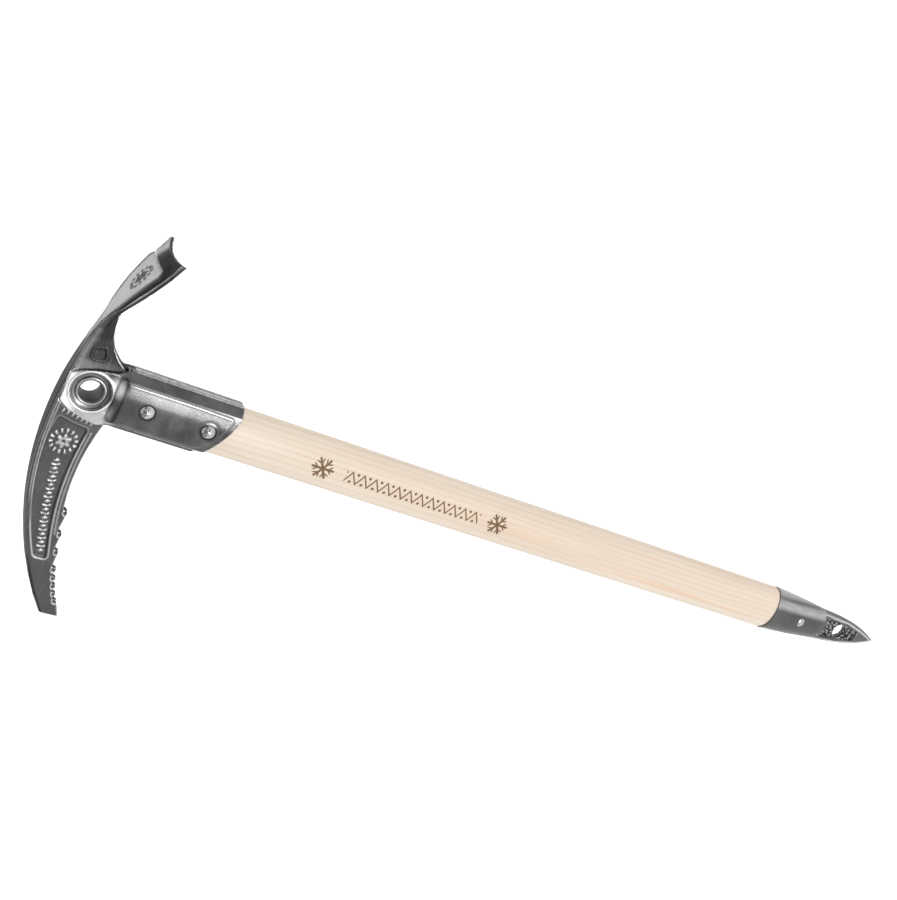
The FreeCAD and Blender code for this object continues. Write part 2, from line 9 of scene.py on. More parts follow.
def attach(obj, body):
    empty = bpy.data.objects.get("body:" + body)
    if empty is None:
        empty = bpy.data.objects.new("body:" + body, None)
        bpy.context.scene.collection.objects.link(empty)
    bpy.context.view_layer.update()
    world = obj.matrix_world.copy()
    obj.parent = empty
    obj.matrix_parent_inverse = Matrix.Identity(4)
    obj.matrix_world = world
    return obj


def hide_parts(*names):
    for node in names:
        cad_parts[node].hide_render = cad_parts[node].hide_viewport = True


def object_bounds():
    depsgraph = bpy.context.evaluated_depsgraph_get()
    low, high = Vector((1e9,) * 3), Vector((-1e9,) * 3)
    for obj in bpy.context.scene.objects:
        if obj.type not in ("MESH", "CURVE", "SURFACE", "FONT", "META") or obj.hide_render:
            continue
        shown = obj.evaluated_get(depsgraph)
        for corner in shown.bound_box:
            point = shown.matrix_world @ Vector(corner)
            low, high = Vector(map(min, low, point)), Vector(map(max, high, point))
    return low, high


# A classic ice axe: forged head, two pressed cheeks, ash shaft, steel ferrule and spike.
# Everything is in metres, in the frame of the CAD model: the centre of the karabiner eye
# is the origin, the shaft runs down -Z, the pick points to -X and the adze to +X.
# Plan sizes are written in millimetres as (along X, along Z) and scaled by MM.

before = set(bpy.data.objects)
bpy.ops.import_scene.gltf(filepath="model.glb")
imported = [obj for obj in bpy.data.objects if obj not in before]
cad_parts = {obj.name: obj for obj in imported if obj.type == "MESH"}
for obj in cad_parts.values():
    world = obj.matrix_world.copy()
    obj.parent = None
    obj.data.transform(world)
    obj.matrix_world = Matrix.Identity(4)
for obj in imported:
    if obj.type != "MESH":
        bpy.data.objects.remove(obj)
cad_low, cad_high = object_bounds()
scene = bpy.context.scene
MM = 0.001

# In millimetres: half widths are across the shaft, half thicknesses and faces are out from
# its middle plane, and drops are down from the eye.
PANEL_FACE = 13.18
EYE_FACE = 9.0
SOCKET_HALF_WIDTH = 18.85
TANG_HALF_THICKNESS = 2.2
SHAFT_HALF_WIDTH = 16.85
SHAFT_HALF_THICKNESS = 11.4
UPPER_RIVET_DROP = 33.0
LOWER_RIVET_DROP = 70.5
TOE_RIVET_DROP = 549.5
FERRULE_DROP = 522.0
FERRULE_END = 573.0

# Points closer together than this are joined into one.
WELD = 0.002 * MM


# ------------------------------------------------------------------ mesh tools

def finished(name, shape, material, stands_for, smooth_angle):
    """Turns a bmesh into a piece of the axe that rides with it."""
    mesh = bpy.data.meshes.new(name)
    shape.to_mesh(mesh)
    shape.free()
    mesh.polygons.foreach_set("use_smooth", [True] * len(mesh.polygons))
    mesh.set_sharp_from_angle(angle=math.radians(smooth_angle))
    piece = bpy.data.objects.new(name, mesh)
    scene.collection.objects.link(piece)
    mesh.materials.append(material)
    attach(piece, "root")
    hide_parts(*stands_for)
    return piece


def cad_shape(node):
    """Closed copy of a CAD node's mesh."""
    shape = bmesh.new()
    shape.from_mesh(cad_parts[node].data)
    bmesh.ops.remove_doubles(shape, verts=shape.verts, dist=WELD)
    return shape


def reskinned(shape, grid, rounds):
    """Even fine skin over a shape, with its sharp corners eased as forging does."""
    mesh = bpy.data.meshes.new("skin")
    shape.to_mesh(mesh)
    shape.free()
    holder = bpy.data.objects.new("skin", mesh)
    scene.collection.objects.link(holder)
    remesh = holder.modifiers.new("remesh", "REMESH")
    remesh.mode = "VOXEL"
    remesh.voxel_size = grid
    remesh.adaptivity = 0.0
    ease = holder.modifiers.new("ease", "SMOOTH")
    ease.factor = 0.5
    ease.iterations = rounds
    bpy.context.view_layer.update()
    depsgraph = bpy.context.evaluated_depsgraph_get()
    result = bmesh.new()
    result.from_mesh(holder.evaluated_get(depsgraph).to_mesh())
    bpy.data.objects.remove(holder)
    bpy.data.meshes.remove(mesh)
    return result


def sawn(shape, drop, keep_upper, reach=1.0):
    """Saws level through a shape at a drop below the eye, keeps one side and closes it.

    Only what lies within reach of the shaft's middle is sawn.
    """
    faces = [f for f in shape.faces if all(abs(v.co.x) < reach for v in f.verts)]
    verts = {v for f in faces for v in f.verts}
    edges = {e for f in faces for e in f.edges}
    cut = bmesh.ops.bisect_plane(
        shape, geom=list(verts) + list(edges) + faces, dist=1e-7, plane_co=(0, 0, -drop * MM),
        plane_no=(0, 0, 1), clear_inner=keep_upper, clear_outer=not keep_upper,
    )
    rim = [item for item in cut["geom_cut"] if isinstance(item, bmesh.types.BMEdge)]
    bmesh.ops.edgeloop_fill(shape, edges=rim)


def moved(shape, change):
    """Moves the points of a shape, and keeps the tone that each place is given.

    change gets millimetre positions and normals and returns new positions and tones.
    """
    shape.normal_update()
    places = np.array([v.co for v in shape.verts]) / MM
    normals = np.array([v.normal for v in shape.verts])
    places, tones = change(places, normals)
    layer = shape.verts.layers.float.new("tone")
    for vert, place, tone in zip(shape.verts, places * MM, tones):
        vert.co = place
        vert[layer] = tone
    shape.normal_update()


def eased(shape, verts, factor, rounds):
    """Draws points towards their neighbours, to soften what lies between them."""
    for _ in range(rounds):
        bmesh.ops.smooth_vert(shape, verts=verts, factor=factor, use_axis_x=True,
                              use_axis_y=True, use_axis_z=True)


def ramp(low, high, value):
    """Smooth step from 0 at low to 1 at high; low may be the larger."""
    share = np.clip((value - low) / (high - low), 0.0, 1.0)
    return share * share * (3 - 2 * share)


def to_line(x, z, points, closed=False):
    """Distance from each place to a line through points."""
    best = np.full(len(x), 1e9)
    ends = points[1:] + (points[:1] if closed else [])
    for (ax, az), (bx, bz) in zip(points, ends):
        dx, dz = bx - ax, bz - az
        share = np.clip(((x - ax) * dx + (z - az) * dz) / (dx * dx + dz * dz), 0, 1)
        best = np.minimum(best, np.hypot(x - ax - share * dx, z - az - share * dz))
    return best


def into_outline(x, z, points):
    """Distance inside a closed outline, negative outside it."""
    inside = np.zeros(len(x), bool)
    for (ax, az), (bx, bz) in zip(points, points[1:] + points[:1]):
        if az != bz:
            crossing = (az > z) != (bz > z)
            inside ^= crossing & (x < (bx - ax) * (z - az) / (bz - az) + ax)
    distance = to_line(x, z, points, closed=True)
    return np.where(inside, distance, -distance)


def ridge(distance, half_width):
    """Rounded ridge, 1 at its crest."""
    return np.clip(1 - (distance / half_width) ** 2, 0, 1) ** 0.75


def rounded(points, radius):
    """Closed outline with its corners rounded, by a bevelled face."""
    flat = bmesh.new()
    corners = [flat.verts.new((x, 0, z)) for x, z in points]
    flat.faces.new(corners)
    bmesh.ops.bevel(
        flat, geom=flat.verts[:], offset=radius, affect="VERTICES", segments=5,
        profile=0.5, material=-1,
    )
    face = flat.faces[:][0]
    outline = [(v.co.x, v.co.z) for v in face.verts]
    flat.free()
    return outline


# ------------------------------------------------------------------ node tools

class Nodes:
    """Short way to place and join shader nodes in one tree."""

    def __init__(self, tree):
        self.tree = tree

    def add(self, kind, settings=None, **inputs):
        """New node with its settings and its inputs, which are numbers or other sockets."""
        node = self.tree.nodes.new(kind)
        for name, value in (settings or {}).items():
            setattr(node, name, value)
        for name, value in inputs.items():
            self.put(node.inputs[name.replace("_", " ")], value)
        return node

    def put(self, socket, value):
        """Joins a socket to another, or sets it to a number or colour."""
        if isinstance(value, bpy.types.NodeSocket):
            self.tree.links.new(value, socket)
        else:
            socket.default_value = value

    def math(self, operation, *values, clamp=False):
        """Sum of one kind or another on numbers and sockets; the next few are short for it."""
        node = self.add("ShaderNodeMath", {"operation": operation, "use_clamp": clamp})
        for socket, value in zip(node.inputs, values):
            self.put(socket, value)
        return node.outputs[0]

    def times(self, first, second, clamp=False):
        return self.math("MULTIPLY", first, second, clamp=clamp)

    def plus(self, first, second):
        return self.math("ADD", first, second)

    def minus(self, first, second):
        return self.math("SUBTRACT", first, second)

    def gap(self, first, second):
        """How far apart two numbers are, whichever is larger."""
        return self.math("ABSOLUTE", self.minus(first, second))

    def larger(self, first, *others):
        for other in others:
            first = self.math("MAXIMUM", first, other)
        return first

    def here(self):
        """Place on the piece, whole and as its X, Y and Z."""
        place = self.add("ShaderNodeTexCoord").outputs["Object"]
        return place, self.add("ShaderNodeSeparateXYZ", None, Vector=place).outputs

    def band(self, value, low, high, to_low=0.0, to_high=1.0):
        """Smooth step from one value at low to another at high."""
        settings = {"interpolation_type": "SMOOTHSTEP", "clamp": True}
        node = self.add("ShaderNodeMapRange", settings)
        for name, number in (("Value", value), ("From Min", low), ("From Max", high),
                             ("To Min", to_low), ("To Max", to_high)):
            self.put(node.inputs[name], number)
        return node.outputs["Result"]

    def noise(self, vector, scale, detail, roughness):
        """Random mottle from 0 to 1, finer with a larger scale."""
        node = self.add("ShaderNodeTexNoise", None, Vector=vector, Scale=scale, Detail=detail,
                        Roughness=roughness)
        return node.outputs["Fac"]

    def stretched(self, vector, scale):
        """Places scaled along each axis, so that a pattern on them is drawn out."""
        node = self.add("ShaderNodeMapping", None, Vector=vector, Scale=scale)
        return node.outputs["Vector"]

    def mix(self, factor, first, second):
        """First colour where factor is 0, second where it is 1."""
        node = self.add("ShaderNodeMix", {"data_type": "RGBA"})
        live = [socket for socket in node.inputs if socket.enabled]
        for socket, value in zip(live, (factor, first, second)):
            self.put(socket, value)
        return next(socket for socket in node.outputs if socket.enabled)

    def place(self, name, **inputs):
        """One of the node groups below, with its own values."""
        node = self.add("ShaderNodeGroup", {"node_tree": bpy.data.node_groups[name]})
        for key, value in inputs.items():
            self.put(node.inputs[key.replace("_", " ")], value)
        return node.outputs


def new_group(name, inputs, outputs):
    """Node group that takes and gives numbers; returns its nodes and end sockets."""
    tree = bpy.data.node_groups.new(name, "ShaderNodeTree")
    for label, default in inputs:
        socket = tree.interface.new_socket(label, in_out="INPUT", socket_type="NodeSocketFloat")
        socket.default_value = default
    for label in outputs:
        tree.interface.new_socket(label, in_out="OUTPUT", socket_type="NodeSocketFloat")
    start = tree.nodes.new("NodeGroupInput").outputs
    end = tree.nodes.new("NodeGroupOutput").inputs
    return Nodes(tree), start, end


def grey(value, warmth=0.0):
    """Grey colour, a little warm or cold."""
    return (value * (1 + warmth), value, value * (1 - warmth), 1)


def make_edge_wear_and_crease_shade():
    """Bare bright metal along raised edges, broken up by grain, and painted shade in hollow
    creases.
    """
    inputs = (("Reach", 0.06), ("Amount", 1.0))
    nodes, start, end = new_group("edge_wear_and_crease_shade", inputs, ("Worn", "Shaded"))
    bend = nodes.add("ShaderNodeNewGeometry").outputs["Pointiness"]
    place, _ = nodes.here()
    patchy = nodes.noise(place, 260.0, 5.0, 0.6)
    reach = nodes.plus(0.5, start["Reach"])
    rising = nodes.band(bend, 0.505, reach)
    broken = nodes.times(rising, nodes.band(patchy, 0.25, 0.6, 0.35, 1.0))
    nodes.put(end["Worn"], nodes.times(broken, start["Amount"], clamp=True))
    nodes.put(end["Shaded"], nodes.band(bend, 0.495, 0.44))


def make_forge_grain():
    """Fine blasted tooth over the slow waves that a hammer or die leaves."""
    inputs = (("Fine Scale", 1600.0), ("Wave Scale", 90.0), ("Wave Share", 0.5))
    nodes, start, end = new_group("forge_grain", inputs, ("Height", "Mottle"))
    place, _ = nodes.here()
    fine = nodes.noise(place, start["Fine Scale"], 3.0, 0.6)
    waves = nodes.noise(place, start["Wave Scale"], 2.0, 0.5)
    share = nodes.times(waves, start["Wave Share"])
    nodes.put(end["Height"], nodes.plus(fine, share))
    nodes.put(end["Mottle"], nodes.noise(place, 42.0, 5.0, 0.6))


def make_rub_marks():
    """Thin scratches, each running its own way, from rock and handling."""
    nodes, start, end = new_group("rub_marks", (("Density", 0.5),), ("Marks",))
    place, _ = nodes.here()
    layers = []
    for turn, scale in ((0.4, 1080.0), (1.9, 1530.0)):
        turned = nodes.add("ShaderNodeMapping", None, Vector=place, Rotation=(0.2, turn, 0.1),
                           Scale=(0.06, 1.0, 1.0))
        streak = nodes.noise(turned.outputs["Vector"], scale, 1.0, 0.4)
        layers.append(nodes.band(streak, 0.66, 0.74))
    nodes.put(end["Marks"], nodes.times(nodes.larger(*layers), start["Density"], clamp=True))


make_edge_wear_and_crease_shade()
make_forge_grain()
make_rub_marks()


def new_material(name):
    """Material with its nodes and its shader."""
    material = bpy.data.materials.new(name)
    material.use_nodes = True
    nodes = Nodes(material.node_tree)
    shader = material.node_tree.nodes["Principled BSDF"]
    return material, nodes, shader


def tone_of(nodes):
    """Tone that was kept at each point of a forged or cast skin."""
    return nodes.add("ShaderNodeAttribute", {"attribute_name": "tone"}).outputs["Fac"]


def tooth(nodes, shader, height, strength, distance):
    """Raises a fine relief on the surface."""
    relief = nodes.add("ShaderNodeBump", None, Strength=strength, Distance=distance, Height=height)
    nodes.put(shader.inputs["Normal"], relief.outputs["Normal"])


def steel(name, dark, light, worn_and_highlight, roughness, fine=1600.0, wave=90.0, wave_share=0.5,
          bump=0.25, wear=0.9, marks=0.06, edge_on=1.0, shade=None, matte=False, painted_highlight=None,
          toned=False):
    """Steel finish: mottled grey, rubbed bright along its edges, darkened in hollow creases as
    painted shade, with a fine tooth.

    shade gives the places painted dark as painted shade, polish the places painted bright as
    painted highlights, toned lets the kept tone paint highlights and shade, and edge_on how
    much the steel shines when it is seen along its surface.
    """
    material, nodes, shader = new_material(name)
    edge = nodes.place("edge_wear_and_crease_shade", Reach=0.07, Amount=wear)
    grain = nodes.place("forge_grain", Fine_Scale=fine, Wave_Scale=wave, Wave_Share=wave_share)
    scratches = nodes.place("rub_marks", Density=marks)
    base = nodes.mix(nodes.band(grain["Mottle"], 0.3, 0.7), grey(dark), grey(light, 0.01))
    shader.inputs["Metallic"].default_value = 1.0
    shader.inputs["Specular Tint"].default_value = grey(edge_on)
    # Painted highlights: the polish places get a brighter grey.
    if painted_highlight is not None:
        base = nodes.mix(painted_highlight(nodes), base, grey(worn_and_highlight * 1.45))
    # Painted shade: hollow creases darkened.
    base = nodes.mix(nodes.times(edge["Shaded"], 0.6), base, grey(dark * 0.45))
    rubbed = edge["Worn"]
    # The kept tone paints shade where it is below 0, and painted highlights and rubbed wear where
    # it is above 0.
    if toned:
        tone = tone_of(nodes)
        base = nodes.mix(nodes.band(tone, 0.0, -0.6), base, grey(dark * 0.3))
        base = nodes.mix(nodes.times(tone, 0.9, clamp=True), base, grey(worn_and_highlight * 0.9))
        rubbed = nodes.times(rubbed, nodes.band(tone, -0.2, -0.02))
    bright = nodes.larger(rubbed, scratches["Marks"])
    base = nodes.mix(bright, base, grey(worn_and_highlight))
    even = nodes.band(grain["Mottle"], 0.25, 0.75, roughness - 0.06, roughness + 0.08)
    even = nodes.minus(even, nodes.times(bright, 0.14))
    # Painted shade: the shade places darkened; with matte they are also made rough and not
    # metallic.
    if shade is not None:
        painted_shade = shade(nodes)
        base = nodes.mix(painted_shade, base, grey(dark * 0.3))
        if matte:
            even = nodes.plus(even, nodes.times(painted_shade, 0.4))
            nodes.put(shader.inputs["Metallic"], nodes.minus(1.0, painted_shade))
    nodes.put(shader.inputs["Base Color"], base)
    nodes.put(shader.inputs["Roughness"], even)
    tooth(nodes, shader, grain["Height"], bump, 0.0003)
    return material


def from_eye(nodes, across=0.0, up=0.0):
    """Distance from the eye, or from a place near it, seen from the side."""
    _, axes = nodes.here()
    x = nodes.minus(axes["X"], across)
    z = nodes.minus(axes["Z"], up)
    return nodes.math("SQRT", nodes.plus(nodes.times(x, x), nodes.times(z, z)))


# Outer edge of the dished ring that is pressed into the cheek round the eye.
DISH_EDGE = 0.0118


def eye_bore_painted_shade(nodes):
    """1 inside the bore of the eye: painted shade on the bore's wall."""
    return nodes.band(from_eye(nodes), 0.0070, 0.0066)


def dish_and_rivet_painted_shade(nodes):
    """1 in the dished ring round the eye and close round the rivets: painted shade in the dish and
    painted shadow round the rivet heads.
    """
    out = from_eye(nodes)
    waves = nodes.math("PINGPONG", nodes.minus(out, 0.0088), 0.0009)
    rings = nodes.times(nodes.band(waves, 0.0004, 0.0001), 0.75)
    painted_shade = nodes.times(nodes.band(out, DISH_EDGE, DISH_EDGE - 0.0004), rings)
    for drop in (UPPER_RIVET_DROP, LOWER_RIVET_DROP):
        near = from_eye(nodes, 0.0, -drop * MM)
        painted_shade = nodes.larger(painted_shade, nodes.times(nodes.band(near, 0.0058, 0.0044), 0.9))
    return painted_shade


def ferrule_painted_highlights(nodes):
    """Painted highlights along the ferrule: one lengthwise band, and its two edges."""
    place, axes = nodes.here()
    streaks = nodes.noise(nodes.stretched(place, (1.0, 1.0, 0.05)), 700.0, 3.0, 0.6)
    band = nodes.times(nodes.band(nodes.gap(axes["X"], 0.0090), 0.0050, 0.0005), 0.5)
    off_middle = nodes.math("ABSOLUTE", axes["X"])
    edges = nodes.times(nodes.band(off_middle, 0.0125, 0.0160), 0.4)
    return nodes.times(nodes.larger(band, edges), nodes.band(streaks, 0.3, 0.7, 0.6, 1.0))


def cheek_painted_highlights(nodes):
    """Painted highlights on the cheek: round the eye, on the dish's rim and along the panel's
    adze-side edge.
    """
    place, axes = nodes.here()
    x, z = axes["X"], axes["Z"]
    ring = from_eye(nodes)
    patchy = nodes.noise(place, 160.0, 5.0, 0.65)
    upper = nodes.times(nodes.band(z, -0.002, 0.011), nodes.band(x, 0.014, 0.005))
    pick_side = nodes.times(nodes.band(x, -0.002, -0.010),
                            nodes.band(z, -0.017, -0.011, 0.0, 0.45))
    lower = nodes.times(nodes.band(from_eye(nodes, 0.007, -0.0125), 0.008, 0.001), 0.8)
    pan = nodes.times(nodes.larger(upper, pick_side, lower),
                      nodes.band(ring, DISH_EDGE, DISH_EDGE + 0.0005))
    rim = nodes.times(nodes.band(ring, DISH_EDGE, DISH_EDGE + 0.0004),
                      nodes.band(ring, DISH_EDGE + 0.0012, DISH_EDGE + 0.0007))
    panel = nodes.times(nodes.band(x, 0.001, 0.011), nodes.band(z, -0.017, -0.021))
    panel = nodes.times(nodes.times(panel, nodes.band(x, 0.0139, 0.0132)), 0.23)
    dish = nodes.times(nodes.band(ring, DISH_EDGE + 0.0002, DISH_EDGE - 0.0002), 0.12)
    return nodes.times(nodes.larger(pan, rim, panel, dish),
                       nodes.band(patchy, 0.25, 0.6, 0.72, 1.0))


forged_steel = steel("blasted_forging", 0.070, 0.095, 0.55, 0.35, bump=0.3, edge_on=0.35,
                     toned=True)
# The cheeks get painted shade in the dish and round the rivets and painted highlights, the eyelet
# painted shade in its bore, and the ferrule painted highlights.
pressed_steel = steel("pressed_sheet", 0.060, 0.115, 0.6, 0.24, fine=900.0, wave=60.0,
                      wave_share=1.2, bump=0.12, marks=0.05, shade=dish_and_rivet_painted_shade, painted_highlight=cheek_painted_highlights)
eyelet_steel = steel("rolled_eyelet", 0.12, 0.17, 0.6, 0.24, bump=0.1, shade=eye_bore_painted_shade, matte=True)
rivet_steel = steel("hammered_rivet", 0.30, 0.42, 0.85, 0.12, wave=420.0, wave_share=1.5, bump=0.2)
ferrule_steel = steel("drawn_ferrule", 0.078, 0.10, 0.5, 0.30, fine=1200.0, bump=0.12, wear=0.05,
                      painted_highlight=ferrule_painted_highlights)


# -------------------------------------------------------------------- forging

SUMMIT = (-21.5, 17.6)
PICK_CORNER = (-149.8, -23.8)
EDGE_MIDDLE = (91.7, -12.2)


def spine_line(x):
    """Height of the spine over any place along the head."""
    run = np.where(x < SUMMIT[0], SUMMIT[0] - PICK_CORNER[0], EDGE_MIDDLE[0] - SUMMIT[0])
    fall = np.where(x < SUMMIT[0], SUMMIT[1] - PICK_CORNER[1], SUMMIT[1] - EDGE_MIDDLE[1])
    radius = (run ** 2 + fall ** 2) / (2 * fall)
    reach = np.minimum((x - SUMMIT[0]) ** 2, radius ** 2)
    return SUMMIT[1] - radius + np.sqrt(radius ** 2 - reach)


PICK_PANEL = rounded(
    [(-19.8, 11.0), (-22.6, 2.0)]
    + [(x, -6.0 - 0.00244 * (x + 50) ** 2) for x in range(-24, -109, -6)]
    + [(-113.0, -15.2), (-113.3, -7.9)]
    + [(x, 12.5 - 0.0028 * (x + 28) ** 2) for x in range(-106, -29, 6)],
    2.0)
NECK_BADGE = rounded([(18.6, 7.1), (24.9, 7.3), (26.4, 0.1), (20.7, -2.1), (18.2, -0.6),
                      (17.4, 4.9)], 1.0)
TOOTH_SCALLOPS = [(-80.6, -15.6), (-95.4, -17.6), (-107.4, -19.8), (-119.2, -22.4),
                  (-125.0, -24.3), (-130.2, -26.2), (-135.4, -28.4), (-140.0, -30.6)]


def flower(x, z, centre, radius):
    """Relief of a mountain flower inside a ring of short rays."""
    across, up = x - centre[0], z - centre[1]
    out = np.hypot(across, up) / radius
    turn = np.arctan2(up, across)
    petal = 0.26 + 0.3 * np.abs(np.cos(turn * 3))
    petals = ramp(petal + 0.05, petal - 0.07, out) * ramp(0.08, 0.16, out)
    rays = ramp(-0.1, 0.5, np.cos(turn * 14)) * ramp(0.66, 0.72, out) * ramp(1.0, 0.93, out)
    return np.maximum(petals, rays)


def garland(x, z, start, end, count, width):
    """Relief of a row of beads and chevrons between two places."""
    run = np.hypot(end[0] - start[0], end[1] - start[1])
    ux, uz = (end[0] - start[0]) / run, (end[1] - start[1]) / run
    along = (x - start[0]) * ux + (z - start[1]) * uz
    off = (z - start[1]) * ux - (x - start[0]) * uz
    off = off + 1.2 * np.sin(np.clip(along / run, 0, 1) * math.pi)
    step = run / count
    cell = np.mod(along, step) / step - 0.5
    number = np.floor(along / step)
    diamond = ramp(0.5, 0.34, np.abs(cell) * 1.1 + np.abs(off) / width)
    slanted = np.abs(cell + 0.5 * np.abs(off) / width - 0.12)
    chevron = ramp(0.22, 0.1, slanted) * ramp(width * 0.55, width * 0.4, np.abs(off))
    marks = np.where(np.mod(number, 2) == 0, diamond, chevron)
    return marks * ((along > 0) & (along < run))


def side_relief(x, z):
    """Relief of the side faces in millimetres, and how far each place is rubbed bright."""
    inside = into_outline(x, z, PICK_PANEL)
    rim = ridge(inside + 0.8, 0.7)
    rim_share = 0.25 + 0.75 * np.maximum(ramp(-26, -34, x) * ramp(-1, -4, z + 0.09 * (x + 40)),
                                         ramp(-108, -111, x))
    lower_side = z < 2.0 + (x + 24.0) * 0.14
    outer_rim = ridge(inside + 2.8, 0.7) * lower_side * (x < -26) * (x > -96)
    relief = 0.3 * rim * rim_share + 0.3 * outer_rim - 0.75 * ramp(-0.3, 0.9, inside)
    marks = flower(x, z, (-35.5, 2.8), 8.6)
    marks = np.maximum(marks, garland(x, z, (-47.0, 2.2), (-110.0, -10.4), 23, 5.4))
    marks = marks * ramp(0.2, 1.0, inside)
    badge = into_outline(x, z, NECK_BADGE)
    badge_rim = ridge(badge - 0.3, 0.6)
    neck_rim = ridge(to_line(x, z, [(18.0, -12.5), (20.6, -8.8), (26.0, -4.6), (34.0, -1.2),
                                    (46.0, 0.6)]), 0.8)
    ticks = np.abs(to_line(x, z, [(-15.8, 11.0), (-17.4, 4.0), (-20.8, -9.0)]) - 0.2)
    ticks = ridge(ticks, 1.3) * ramp(0.1, 0.6, np.sin(z * 1.9 + x * 0.7))
    relief += 0.6 * marks + 0.35 * badge_rim + 0.3 * neck_rim + 0.35 * ticks
    relief -= 0.2 * ramp(0.6, 1.4, badge)
    rubbed = np.maximum.reduce([
        0.7 * rim * rim_share, 0.45 * outer_rim, 0.7 * marks, 0.1 * badge_rim, 0.6 * neck_rim,
        0.5 * ticks,
    ])
    for centre in TOOTH_SCALLOPS:
        around = np.hypot(x - centre[0], z - centre[1])
        upper = ramp(-1.2, 0.6, z - centre[1])
        lip = ridge(around - 2.0, 0.6) * upper
        relief += 0.3 * lip - 0.65 * ramp(1.7, 1.0, around)
        rubbed = np.maximum(rubbed, 0.6 * lip)
    below_spine = spine_line(x) - z
    lines = ridge(below_spine - 2.6, 0.5) + ridge(below_spine - 4.0, 0.5)
    lines = lines * ramp(-84, -70, x) * ramp(14, 4, x)
    relief += 0.3 * lines - 0.8 * ramp(3.0, 0.6, below_spine) * ramp(-110, -122, x)
    return relief, np.maximum(rubbed, 0.5 * lines)


# Adze in plan, along X: half width of the plate, how far its sides arch down, and half
# width of the flat panel.
ADZE_X = (28.0, 40.0, 45.0, 50.0, 55.0, 60.0, 65.0, 70.0, 78.0, 85.0, EDGE_MIDDLE[0])
ADZE_HALF = (4.2, 5.5, 7.3, 11.6, 16.0, 19.0, 21.3, 24.0, 26.7, 28.0, 27.5)
ADZE_ARCH = (0.2, 0.5, 0.8, 1.2, 1.7, 2.1, 2.4, 2.6, 2.9, 3.0, 3.0)
ADZE_PANEL = [(22.0, 1.6), (40.0, 3.4), (52.0, 10.2), (66.0, 16.2), (80.0, 20.4), (83.0, 18.0)]


def adze_relief(places, normals):
    """Flat panel with a raised rim on the adze, side facets beside it, and a hollow-ground edge;
    the tone paints the panel and rim light and the facets dark.
    """
    x, y, _ = places.T
    half = np.interp(x, ADZE_X, ADZE_HALF)
    arch = np.interp(x, ADZE_X, ADZE_ARCH)
    off = np.abs(y)
    panel = np.interp(x, *zip(*ADZE_PANEL))
    outline = ADZE_PANEL + [(across, -side) for across, side in reversed(ADZE_PANEL)]
    inside = into_outline(x, y, outline)
    share = np.clip(off / half, 0, 1.1)
    outside = np.clip((off - panel) / np.maximum(half - panel, 1.0), 0, 1.1)
    flattened = arch * (share ** 2 - outside)
    rim = ridge(inside + 0.7, 0.9) * ramp(44, 56, x)
    marks = flower(x, y, (71.0, -1.0), 8.6) * ramp(0.5, 1.5, inside)
    facet = ramp(0.0, 0.5, outside) * ramp(1.02, 0.9, share) * ramp(44, 54, x)
    lift = flattened * ramp(40, 50, x) * ramp(90, 84, x)
    lift -= 0.55 * ramp(-0.2, 1.0, inside) * ramp(40, 52, x)
    lift += 0.3 * rim + 0.5 * marks - 0.9 * facet * ramp(88, 80, x)
    facing_up = ramp(0.35, 0.75, normals[:, 2]) * ramp(22, 32, x)
    facing_down = ramp(-0.35, -0.75, normals[:, 2]) * (x > 40)
    near_edge = ramp(74, EDGE_MIDDLE[0], x)
    corner = ramp(0.9, 1.0, share) * ramp(87, 91, x)
    moved_places = places.copy()
    moved_places[:, 2] += (lift + 0.7 * corner) * facing_up
    moved_places[:, 2] += 1.5 * ramp(82, EDGE_MIDDLE[0], x) * facing_down
    moved_places[:, 0] -= 2.4 * near_edge * np.clip(1 - share ** 2, 0, 1)
    # Painted light on the adze's upward faces: highlights on the panel, rim, far half of the tip
    # and outer edges, painted shade on the side facets and near half of the tip; the flower is
    # darker.
    tone = 0.6 * ramp(-0.6, 0.4, inside) - 0.7 * marks + 0.5 * rim
    tip = ramp(81.5, 84.5, x) * ramp(0.5, -0.5, inside)
    tone -= 0.32 * np.maximum(facet, tip * ramp(0.5, -0.1, y / half))
    tone += 0.85 * tip * ramp(0.2, 0.6, y / half)
    tone += 0.9 * ramp(0.94, 0.98, share) * ramp(46, 56, x)
    return moved_places, tone * facing_up


def head_relief(places, normals):
    """Relief of the whole head, and its tone: above 0 brighter, below 0 darker; rubbed wear on
    raised crests, painted highlights on the spine's top and the adze, painted shade on the neck's
    flanks and the adze's facets.
    """
    x, y, z = places.T
    sideways, upward = np.abs(normals[:, 1]), normals[:, 2]
    flank = ramp(0.6, 0.85, sideways) * ramp(50, 44, x)
    relief, rubbed = side_relief(x, z)
    # Painted shade on the neck's flanks; it darkens the tone where nothing is rubbed.
    neck_painted_shade = ramp(12, 21, x) * ramp(1.5, 6, spine_line(x) - z) * ramp(0.1, 0.4, sideways)
    width = np.interp(x, (-110, -80, -60, -40, -20, 0, 18, 40), (3, 3.8, 5.2, 7, 9, 9.8, 7, 4))
    on_spine = ramp(0.45, 0.7, upward) * ramp(-90, -70, x) * ramp(24, 14, x)
    groove = ridge(np.abs(y) - width * 0.5, 0.7) + ridge(np.abs(y) - width * 0.82, 0.6)
    places = np.stack((x, y + np.sign(y) * relief * flank, z - 0.22 * groove * on_spine), axis=1)
    # Painted highlight along the top of the spine, brighter in its grooves, joined to the rubbed
    # crests.
    spine_top_painted_highlight = ramp(0.3, 0.5, upward) * ramp(-130, -95, x) * ramp(34, 24, x)
    rubbed = np.maximum(rubbed * flank, spine_top_painted_highlight * (0.14 + 0.5 * groove))
    places, tone = adze_relief(places, normals)
    return places, tone + rubbed - 0.55 * neck_painted_shade * (1 - rubbed)


